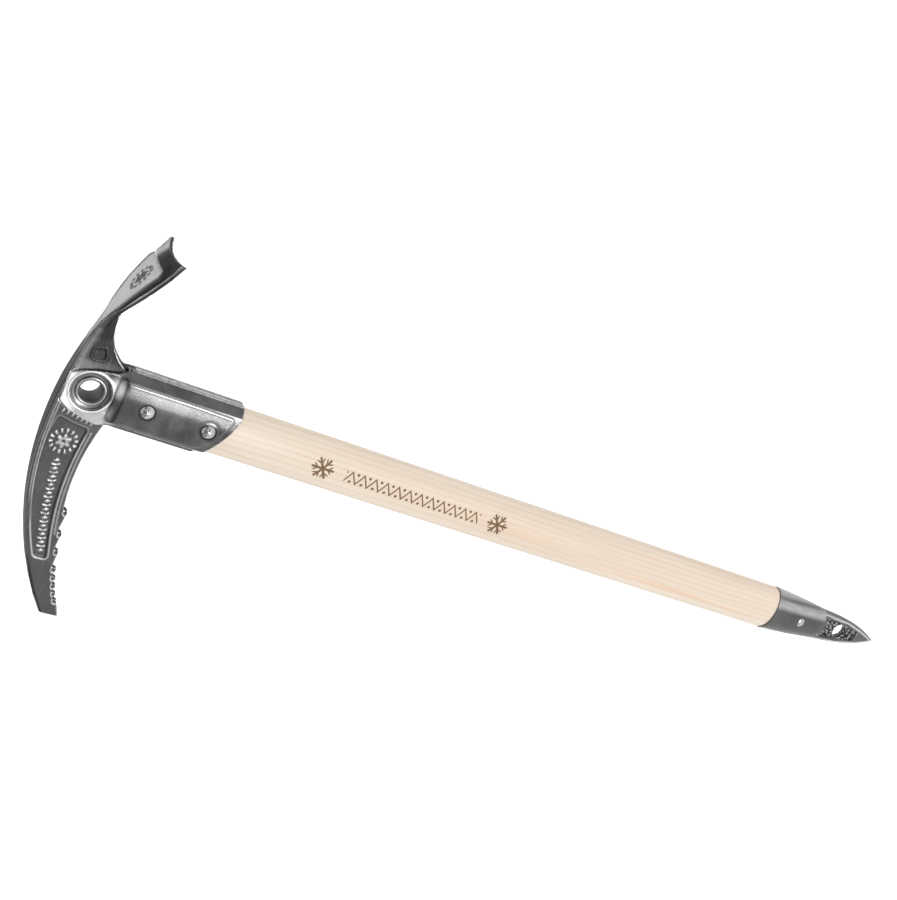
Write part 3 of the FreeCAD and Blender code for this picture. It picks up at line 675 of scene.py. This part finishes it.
def make_head():
    """Forging above the socket: pick, eye web and adze in one skin."""
    shape = cad_shape("head_blade")
    sawn(shape, 20.0, keep_upper=True, reach=25 * MM)
    shape = reskinned(shape, 0.52 * MM, 3)
    moved(shape, head_relief)
    eased(shape, shape.verts[:], 0.25, 1)
    return finished("head_forging", shape, forged_steel, ["head_blade"], 60)


def make_tang():
    """Flat tongue of the forging between the cheeks; only its edges show."""
    shape = bmesh.new()
    edge = SOCKET_HALF_WIDTH
    corners = [(-edge, -19.9), (edge, -19.9), (edge, -86.5), (17.6, -87.9), (6, -84.6),
               (-7, -79.2), (-16.6, -70.6), (-edge, -68.4)]
    verts = [shape.verts.new((x * MM, -TANG_HALF_THICKNESS * MM, z * MM)) for x, z in corners]
    face = shape.faces.new(verts)
    grown = bmesh.ops.extrude_face_region(shape, geom=[face])
    lifted = [item for item in grown["geom"] if isinstance(item, bmesh.types.BMVert)]
    bmesh.ops.translate(shape, verts=lifted, vec=(0, 2 * TANG_HALF_THICKNESS * MM, 0))
    bmesh.ops.recalc_face_normals(shape, faces=shape.faces)
    bmesh.ops.bevel(shape, geom=shape.edges[:], offset=0.35 * MM, affect="EDGES", segments=2,
                    profile=0.5, material=-1)
    return finished("head_tang", shape, forged_steel, ["head_blade"], 30)


make_head()
make_tang()


# --------------------------------------------------------------------- cheeks

CHEEK_PANEL = rounded([
    (13.0, -16.4), (13.2, -30.0), (13.2, -60.0), (12.6, -83.2), (4.0, -81.0), (-4.0, -76.6),
    (-9.0, -72.6), (-13.2, -67.0), (-13.4, -40.0), (-13.0, -18.0),
], 2.6)


def eye_shoulder(x, y, z):
    """Draws the step between eye pan and socket into one smooth pressed shoulder."""
    side, out = np.abs(x), -y
    socket = np.interp(side, (0, 4.5, 13.4, 17.3, 18.9), (13.2, 13.2, 12.2, 4.0, 4.0))
    pan = EYE_FACE - 3.2 * ramp(14.0, 18.5, side) * ramp(-9.0, -13.5, z)
    face = pan + (socket - pan) * ramp(-11.8, -18.2, z)
    share = (out - TANG_HALF_THICKNESS) / (EYE_FACE - TANG_HALF_THICKNESS)
    flank = TANG_HALF_THICKNESS + share * (face - TANG_HALF_THICKNESS)
    drawn = np.where(out > EYE_FACE - 0.6, face, np.where(z > -16.9, flank, out))
    return -np.where((z > -18.2) & (z < -8.5), drawn, out)


def cheek_relief(places, normals):
    """Crisp raised panel, a set round the eye and the marks of the press."""
    x, y, z = places.T
    outer = -y > TANG_HALF_THICKNESS + 0.4
    y = np.where(outer, eye_shoulder(x, y, z), y)
    places = np.stack((x, y, z), axis=1) + 0.12 * normals
    outward = ramp(0.35, 0.8, -normals[:, 1])
    inside = into_outline(x, z, CHEEK_PANEL)
    below_eye = ramp(-17.5, -20.5, z)
    press = -0.55 * ramp(0.9, -0.5, inside) * below_eye * ramp(-11.0, -12.0, y)
    press += 0.12 * ridge(inside - 0.9, 0.9) * below_eye
    press -= 0.2 * ridge(np.hypot(x, z + LOWER_RIVET_DROP) - 6.0, 1.3) * below_eye
    press += 0.3 * ridge(np.hypot(x, z) - 12.3, 0.8) * ramp(-8.0, -8.8, y)
    press -= 0.5 * ramp(1.4, 0.6, np.hypot(x + 9.0, z + 12.5))
    places[:, 1] -= press * outward
    return places, np.zeros(len(places))


def make_cheek(name, mirrored):
    """Pressed cheek: eye pan, shoulder and socket; the back one is the front one mirrored."""
    shape = cad_shape("cheek_front")
    shape = reskinned(shape, 0.5 * MM, 3)
    moved(shape, cheek_relief)
    shoulder = [v for v in shape.verts if -20 * MM < v.co.z < -9 * MM and v.co.y < -3 * MM]
    eased(shape, shoulder, 0.5, 8)
    eased(shape, shape.verts[:], 0.4, 2)
    if mirrored:
        bmesh.ops.scale(shape, vec=(1, -1, 1), verts=shape.verts)
        bmesh.ops.reverse_faces(shape, faces=shape.faces)
    return finished("pressed_" + name, shape, pressed_steel, [name], 60)


make_cheek("cheek_front", False)
make_cheek("cheek_back", True)


# ------------------------------------------------------- eyelet and fasteners

def spun(profile, steps):
    """Full turn of a profile about Y; the profile is (radius, y) in millimetres."""
    shape = bmesh.new()
    verts = [shape.verts.new((radius * MM, y * MM, 0)) for radius, y in profile]
    edges = [shape.edges.new(pair) for pair in zip(verts, verts[1:])]
    bmesh.ops.spin(
        shape, geom=verts + edges, cent=(0, 0, 0), axis=(0, 1, 0), dvec=(0, 0, 0),
        angle=2 * math.pi, steps=steps, use_merge=True, use_duplicate=False,
    )
    bmesh.ops.remove_doubles(shape, verts=shape.verts, dist=WELD)
    bmesh.ops.recalc_face_normals(shape, faces=shape.faces)
    return shape


def both_ends(profile):
    """Profile carried on, mirrored, to the far side."""
    return profile + [(radius, -y) for radius, y in reversed(profile)]


def make_eyelet():
    """Eyelet rolled over both cheeks, with its wall between them."""
    near = [(7.65, -7.85), (8.55, -7.85), (8.72, -8.1), (8.74, -8.4), (8.6, -8.72), (8.2, -8.94),
            (7.75, -8.97), (7.35, -8.85), (7.05, -8.6), (6.75, -8.35), (6.5, -7.9), (6.4, -7.2)]
    shape = spun(both_ends(near) + [near[0]], 72)
    return finished("eye_ring", shape, eyelet_steel, ["eyelet"], 50)


def make_rivet(name, drop, head, rise, seat, shank):
    """Rivet with a hammered dome on a thin skirt at both ends.

    head and shank are radii, and seat is how far out the dome sits, all in millimetres.
    """
    top = seat + rise
    near = [(0, -top + 0.05), (head * 0.2, -top + 0.04), (head * 0.3, -top + 0.12),
            (head * 0.52, -top + 0.216 * rise), (head * 0.72, -top + 0.44 * rise),
            (head * 0.86, -top + 0.68 * rise), (head * 0.95, -top + 0.87 * rise),
            (head - 0.02, -seat - 0.12), (head - 0.04, -seat), (shank, -seat)]
    shape = spun(both_ends(near), 60)
    for vert in shape.verts:
        out = math.hypot(vert.co.x, vert.co.z) / (head * MM)
        turn = math.atan2(vert.co.z, vert.co.x)
        if abs(vert.co.y) > (seat + 0.2) * MM:
            blow = 0.13 * math.sin(math.pi * min(out, 1)) ** 2 * (1 - math.cos(6 * turn + drop))
            vert.co.y -= math.copysign(blow * MM, vert.co.y)
    bmesh.ops.translate(shape, verts=shape.verts, vec=(0, 0, -drop * MM))
    return finished("hammered_" + name, shape, rivet_steel, [name], 60)


make_eyelet()
make_rivet("rivet_upper", UPPER_RIVET_DROP, 4.2, 2.2, PANEL_FACE, 2.5)
make_rivet("rivet_lower", LOWER_RIVET_DROP, 4.2, 2.2, PANEL_FACE, 2.5)
make_rivet("rivet_toe", TOE_RIVET_DROP, 3.3, 1.5, 10.2, 1.9)


# ------------------------------------------- finish of the wood and the spike

def make_crystal_group():
    """Six-armed snow crystal: 1 on its strokes, around a centre in the XZ plane."""
    inputs = (("Along", 0.0), ("Across", 0.0), ("Size", 0.006))
    nodes, start, end = new_group("snow_crystal", inputs, ("Stroke",))
    right, up, size = start["Across"], start["Along"], start["Size"]
    out = nodes.math("SQRT", nodes.plus(nodes.times(up, up), nodes.times(right, right)))
    turn = nodes.math("ARCTAN2", right, up)
    fold = nodes.math("PINGPONG", turn, math.pi / 6)
    along = nodes.math("DIVIDE", nodes.times(out, nodes.math("COSINE", fold)), size)
    across = nodes.math("DIVIDE", nodes.times(out, nodes.math("SINE", fold)), size)
    arm = nodes.times(nodes.band(across, 0.13, 0.07), nodes.band(along, 1.0, 0.94))
    barb_line = nodes.gap(nodes.minus(along, across), 0.45)
    barb = nodes.times(nodes.band(barb_line, 0.11, 0.06), nodes.band(across, 0.34, 0.3))
    nodes.put(end["Stroke"], nodes.larger(arm, barb))


def burnt_ornament(nodes, axes):
    """Two snow crystals with a mountain line between them, burnt into the front.

    Gives the burnt marks and the toasted halo round them.
    """
    down = nodes.times(axes["Z"], -1.0)
    front = nodes.band(axes["Y"], 0.0, -0.002)
    strokes = []
    for centre in (0.146, 0.2745):
        crystal = nodes.place("snow_crystal", Along=nodes.minus(down, centre),
                              Across=axes["X"], Size=0.0078)
        strokes.append(crystal["Stroke"])
    first, last, peak_count = 0.1616, 0.2605, 12
    half_pitch = (last - first) / peak_count / 2
    swing = nodes.math("PINGPONG", nodes.minus(down, first), half_pitch)
    peaks = nodes.gap(nodes.plus(axes["X"], 0.0037), nodes.times(swing, 1.8))
    within = nodes.times(nodes.band(down, first, first + 0.0003),
                         nodes.band(down, last, last - 0.0003))
    line = [nodes.band(peaks, 0.00115, 0.00075)]
    for along, across in ((swing, 0.0029), (nodes.minus(half_pitch, swing), -0.0029)):
        from_bead = nodes.plus(along, nodes.gap(axes["X"], across))
        line.append(nodes.band(from_bead, 0.0014, 0.0010))
    strokes += [nodes.times(part, within) for part in line]
    mark = nodes.larger(*strokes)
    off_middle = nodes.math("ABSOLUTE", axes["X"])
    halo = nodes.times(nodes.band(off_middle, 0.009, 0.003), nodes.band(mark, 0.0, 1.0))
    return nodes.times(mark, front), nodes.times(halo, front)


YEAR_RINGS_PER_METRE = 260.0
SAPWOOD = (0.60, 0.497, 0.40, 1)
PALE_SAPWOOD = (0.66, 0.57, 0.475, 1)
HEART_STREAK = (0.64, 0.42, 0.285, 1)
LATE_WOOD = (0.47, 0.345, 0.235, 1)
FIBRE = (0.46, 0.325, 0.215, 1)
TOASTED = (0.55, 0.39, 0.20, 1)
DEEP_BURN = (0.075, 0.034, 0.006, 1)
LIGHT_BURN = (0.165, 0.085, 0.02, 1)


def make_ash():
    """Pale oiled ash: long pores, warm streaks and a small burnt ornament."""
    material, nodes, shader = new_material("oiled_ash")
    place, axes = nodes.here()
    bent = nodes.noise(nodes.stretched(place, (6.0, 6.0, 1.2)), 4.0, 2.0, 0.5)
    swing = nodes.times(nodes.minus(bent, 0.5), 0.006)
    ring_place = nodes.plus(nodes.plus(axes["X"], swing), nodes.times(axes["Y"], 0.35))
    year = nodes.math("FRACT", nodes.times(ring_place, YEAR_RINGS_PER_METRE))
    late = nodes.times(nodes.band(year, 0.55, 0.95), nodes.band(year, 1.0, 0.96))
    fibres = nodes.noise(nodes.stretched(place, (1.0, 1.0, 0.012)), 1500.0, 3.0, 0.6)
    pores = nodes.noise(nodes.stretched(place, (1.0, 1.0, 0.03)), 2600.0, 2.0, 0.5)
    streaks = nodes.noise(nodes.stretched(place, (1.0, 1.0, 0.035)), 130.0, 3.0, 0.5)
    broad = nodes.noise(nodes.stretched(place, (1.0, 1.0, 0.10)), 34.0, 2.0, 0.5)
    wood = nodes.mix(nodes.band(broad, 0.35, 0.65), SAPWOOD, PALE_SAPWOOD)
    wood = nodes.mix(nodes.times(nodes.band(streaks, 0.50, 0.72), 0.75), wood, HEART_STREAK)
    wood = nodes.mix(nodes.times(late, 0.28), wood, LATE_WOOD)
    wood = nodes.mix(nodes.times(nodes.band(fibres, 0.52, 0.72), 0.3), wood, FIBRE)
    mark, halo = burnt_ornament(nodes, axes)
    scorched = nodes.mix(nodes.noise(place, 900.0, 2.0, 0.5), DEEP_BURN, LIGHT_BURN)
    wood = nodes.mix(nodes.times(halo, 0.35), wood, TOASTED)
    nodes.put(shader.inputs["Base Color"], nodes.mix(mark, wood, scorched))
    nodes.put(shader.inputs["Roughness"], nodes.band(fibres, 0.3, 0.7, 0.42, 0.56))
    shader.inputs["Coat Roughness"].default_value = 0.3
    shader.inputs["Coat Weight"].default_value = 0.06
    open_pores = nodes.times(nodes.band(pores, 0.62, 0.72), 0.5)
    depth = nodes.minus(nodes.times(fibres, 0.35), open_pores)
    tooth(nodes, shader, nodes.minus(depth, nodes.times(mark, 1.4)), 0.25, 0.0002)
    return material


def rough_hollow(nodes):
    """1 in the cast hollow round the spike's hole, with a ragged upper border."""
    place, axes = nodes.here()
    below = nodes.plus(axes["Z"], nodes.times(nodes.noise(place, 420.0, 3.0, 0.6), 0.004))
    zone = nodes.times(nodes.band(below, -0.5740, -0.5745), nodes.band(below, -0.611, -0.609))
    from_root = nodes.plus(axes["Z"], FERRULE_END * MM)
    reach = nodes.math("MULTIPLY_ADD", from_root, 0.105, 0.0088)
    inward = nodes.minus(reach, nodes.math("ABSOLUTE", axes["X"]))
    return nodes.times(zone, nodes.band(inward, 0.0, 0.0006))


def make_cast_spike():
    """Cast steel: plain outside, coarse and dark in its hollows, rubbed along its rims."""
    material, nodes, shader = new_material("cast_spike")
    place, _ = nodes.here()
    rough = rough_hollow(nodes)
    lumps = nodes.add("ShaderNodeTexVoronoi", {"feature": "F1"}, Vector=place, Scale=520.0)
    lumps = lumps.outputs["Distance"]
    edge = nodes.place("edge_wear_and_crease_shade", Reach=0.07, Amount=0.9)
    grain = nodes.place("forge_grain", Fine_Scale=1500.0, Wave_Scale=200.0, Wave_Share=0.6)
    plain = nodes.mix(grain["Mottle"], grey(0.09), grey(0.13))
    plain = nodes.mix(nodes.times(tone_of(nodes), 0.7), plain, grey(0.6))
    pitted = nodes.mix(nodes.band(lumps, 0.2, 0.6), grey(0.36), grey(0.02))
    base = nodes.mix(rough, plain, pitted)
    nodes.put(shader.inputs["Base Color"], nodes.mix(edge["Worn"], base, grey(0.7)))
    shader.inputs["Metallic"].default_value = 1.0
    nodes.put(shader.inputs["Roughness"], nodes.band(rough, 0.0, 1.0, 0.36, 0.55))
    pits = nodes.times(nodes.times(lumps, rough), 3.0)
    tooth(nodes, shader, nodes.plus(nodes.times(grain["Height"], 0.15), pits), 0.6, 0.0005)
    return material


make_crystal_group()
ash_wood = make_ash()
cast_spike = make_cast_spike()


# ------------------------------------------------------------- shaft and foot

def oval_stack(levels, steps):
    """Open oval tube through (drop, half width, half thickness) levels."""
    shape = bmesh.new()
    ring = bmesh.ops.create_circle(shape, cap_ends=False, radius=MM, segments=steps)["verts"]
    edges = shape.edges[:]
    first_drop, width, thick = levels[0]
    bmesh.ops.scale(shape, vec=(width, thick, 1), verts=ring)
    bmesh.ops.translate(shape, vec=(0, 0, -first_drop * MM), verts=ring)
    for (drop, old_width, old_thick), (next_drop, width, thick) in zip(levels, levels[1:]):
        grown = bmesh.ops.extrude_edge_only(shape, edges=edges)["geom"]
        ring = [item for item in grown if isinstance(item, bmesh.types.BMVert)]
        edges = [item for item in grown if isinstance(item, bmesh.types.BMEdge)]
        edges = [edge for edge in edges if all(vert in ring for vert in edge.verts)]
        bmesh.ops.scale(shape, vec=(width / old_width, thick / old_thick, 1), verts=ring)
        bmesh.ops.translate(shape, vec=(0, 0, (drop - next_drop) * MM), verts=ring)
    return shape


def capped(shape):
    """Closes the open ends of a tube."""
    bmesh.ops.holes_fill(shape, edges=shape.edges, sides=0)
    bmesh.ops.recalc_face_normals(shape, faces=shape.faces)
    return shape


def ferrule_size(drop):
    """Half width and half thickness of the ferrule at a drop below the eye."""
    level = np.interp(drop, (FERRULE_DROP, 536.0, TOE_RIVET_DROP, 562.0, FERRULE_END),
                      (0.0, 0.17, 0.42, 0.72, 1.0))
    return 17.3 - 4.5 * level, 11.85 - 3.35 * level


def make_shaft():
    """Ash shaft with eased ends; its foot narrows inside the ferrule."""
    wall = 1.25
    levels = [(17.0, 16.0, 10.6), (18.0, 16.6, 11.2), (20.0, 16.8, 11.35)]
    levels += [(drop, SHAFT_HALF_WIDTH, SHAFT_HALF_THICKNESS) for drop in range(40, 521, 20)]
    levels += [(522.4, 16.0, 10.6)]
    for drop in (536.0, TOE_RIVET_DROP, 562.0, 572.5):
        levels.append((drop, *(side - wall for side in ferrule_size(drop))))
    shape = capped(oval_stack(levels, 128))
    return finished("ash_shaft", shape, ash_wood, ["shaft"], 40)


def make_ferrule():
    """Tapered oval cup with a rolled mouth."""
    wall = 1.1
    levels = [(534.0, *(side - wall for side in ferrule_size(534.0)))]
    levels += [(523.0, 16.2, 10.75), (522.3, 16.45, 11.0), (522.05, 16.85, 11.4),
               (522.15, 17.12, 11.67), (522.8, 17.25, 11.8)]
    for drop in (526.0, 531.0, 536.0, 541.0, 545.5, TOE_RIVET_DROP, 554.0, 558.0, 562.0, 566.0,
                 570.0, 572.9):
        levels.append((drop, *ferrule_size(drop)))
    levels.append((572.95, *(side - wall for side in ferrule_size(FERRULE_END))))
    shape = oval_stack(levels, 96)
    open_ends = [edge for edge in shape.edges if edge.is_boundary]
    bmesh.ops.bridge_loops(shape, edges=open_ends)
    bmesh.ops.recalc_face_normals(shape, faces=shape.faces)
    return finished("foot_ferrule", shape, ferrule_steel, ["ferrule"], 50)


def spike_relief(places, normals):
    """Rim lines round the spike and a shallow hollow inside them."""
    x, y, z = places.T
    edge = np.interp(-z, (FERRULE_END, 600, 615, 625, 633), (12.8, 10.5, 7.2, 4.2, 0.8))
    flank = ramp(0.5, 0.8, np.abs(normals[:, 1]))
    inward = edge - np.abs(x)
    rim = ridge(inward - 2.0, 0.9)
    places[:, 1] += np.sign(y) * (0.35 * rim - 0.3 * ramp(1.2, 2.6, inward - 1.4)) * flank
    return places, rim * flank


def make_spike():
    """Cast spike with its lanyard hole; its root is hidden in the ferrule and sawn off."""
    shape = cad_shape("spike")
    sawn(shape, 572.9, keep_upper=False)
    shape = reskinned(shape, 0.35 * MM, 2)
    moved(shape, spike_relief)
    return finished("foot_spike", shape, cast_spike, ["spike"], 60)


make_shaft()
make_ferrule()
make_spike()


# ------------------------------------------------------ floor, light and view

def make_floor():
    """Very wide pale floor under the point of the spike."""
    material, nodes, shader = new_material("pale_floor")
    place, _ = nodes.here()
    tone = nodes.mix(nodes.noise(place, 0.6, 2.0, 0.5), grey(0.955), grey(0.965))
    nodes.put(shader.inputs["Base Color"], tone)
    shader.inputs["Roughness"].default_value = 0.9
    nodes.put(shader.inputs["Emission Color"], tone)
    shader.inputs["Emission Strength"].default_value = 0.6
    shape = bmesh.new()
    bmesh.ops.create_grid(shape, x_segments=8, y_segments=8, size=60.0)
    bmesh.ops.translate(shape, verts=shape.verts, vec=(0, 0, cad_low.z - 0.0005))
    mesh = bpy.data.meshes.new("floor")
    shape.to_mesh(mesh)
    shape.free()
    floor = bpy.data.objects.new("floor", mesh)
    scene.collection.objects.link(floor)
    mesh.materials.append(material)


def make_light(name, place, target, size, power):
    """Large soft square light that faces a target."""
    lamp = bpy.data.lights.new(name, "AREA")
    lamp.energy = power
    lamp.size = size
    holder = bpy.data.objects.new(name, lamp)
    scene.collection.objects.link(holder)
    holder.location = place
    holder.visible_camera = False
    facing = (Vector(target) - holder.location).to_track_quat("-Z", "Y")
    holder.rotation_euler = facing.to_euler()


def light_room(world):
    """Soft white wall behind the axe, a soft panel over its front, and dimmer walls elsewhere."""
    nodes = Nodes(world.node_tree)
    toward = nodes.add("ShaderNodeTexCoord").outputs["Generated"]
    axes = nodes.add("ShaderNodeSeparateXYZ", None, Vector=toward).outputs
    y, z = axes["Y"], axes["Z"]
    wall = nodes.times(nodes.band(y, 0.1, 0.7), nodes.band(z, 0.66, 0.44))
    panel = nodes.times(nodes.times(nodes.band(y, 0.45, 0.1), nodes.band(z, 0.6, 0.85)), 0.7)
    low_wall = nodes.times(nodes.band(z, 0.42, 0.15), 0.5)
    background = world.node_tree.nodes["Background"]
    background.inputs["Color"].default_value = (1, 1, 1, 1)
    nodes.put(background.inputs["Strength"], nodes.plus(nodes.larger(wall, panel, low_wall), 0.32))


def make_camera():
    """Camera above and in front of the axe, rolled so that the shaft lies across the frame."""
    right = Vector((0.4452, -0.2939, -0.8458))
    up = Vector((0.8489, 0.4390, 0.2943))
    stand = Matrix((right, up, right.cross(up))).transposed().to_4x4()
    stand.translation = Vector((0.26933, -0.70133, 0.14466))
    lens = bpy.data.cameras.new("camera")
    lens.sensor_fit = "VERTICAL"
    lens.sensor_height = 36
    lens.sensor_width = 36
    lens.lens = 51.836
    lens.clip_start = 0.01
    lens.clip_end = 200
    camera = bpy.data.objects.new("camera", lens)
    scene.collection.objects.link(camera)
    camera.matrix_world = stand
    scene.camera = camera


make_floor()
make_light("low_front", (0.12, -1.05, -0.42), (0, 0, -0.05), 0.36, 4.6)
make_light("back", (0.1, 1.45, 0.85), (0, 0, 0), 0.8, 6)
world = bpy.data.worlds.new("studio")
scene.world = world
world.use_nodes = True
light_room(world)
scene.view_settings.view_transform = "Standard"
make_camera()
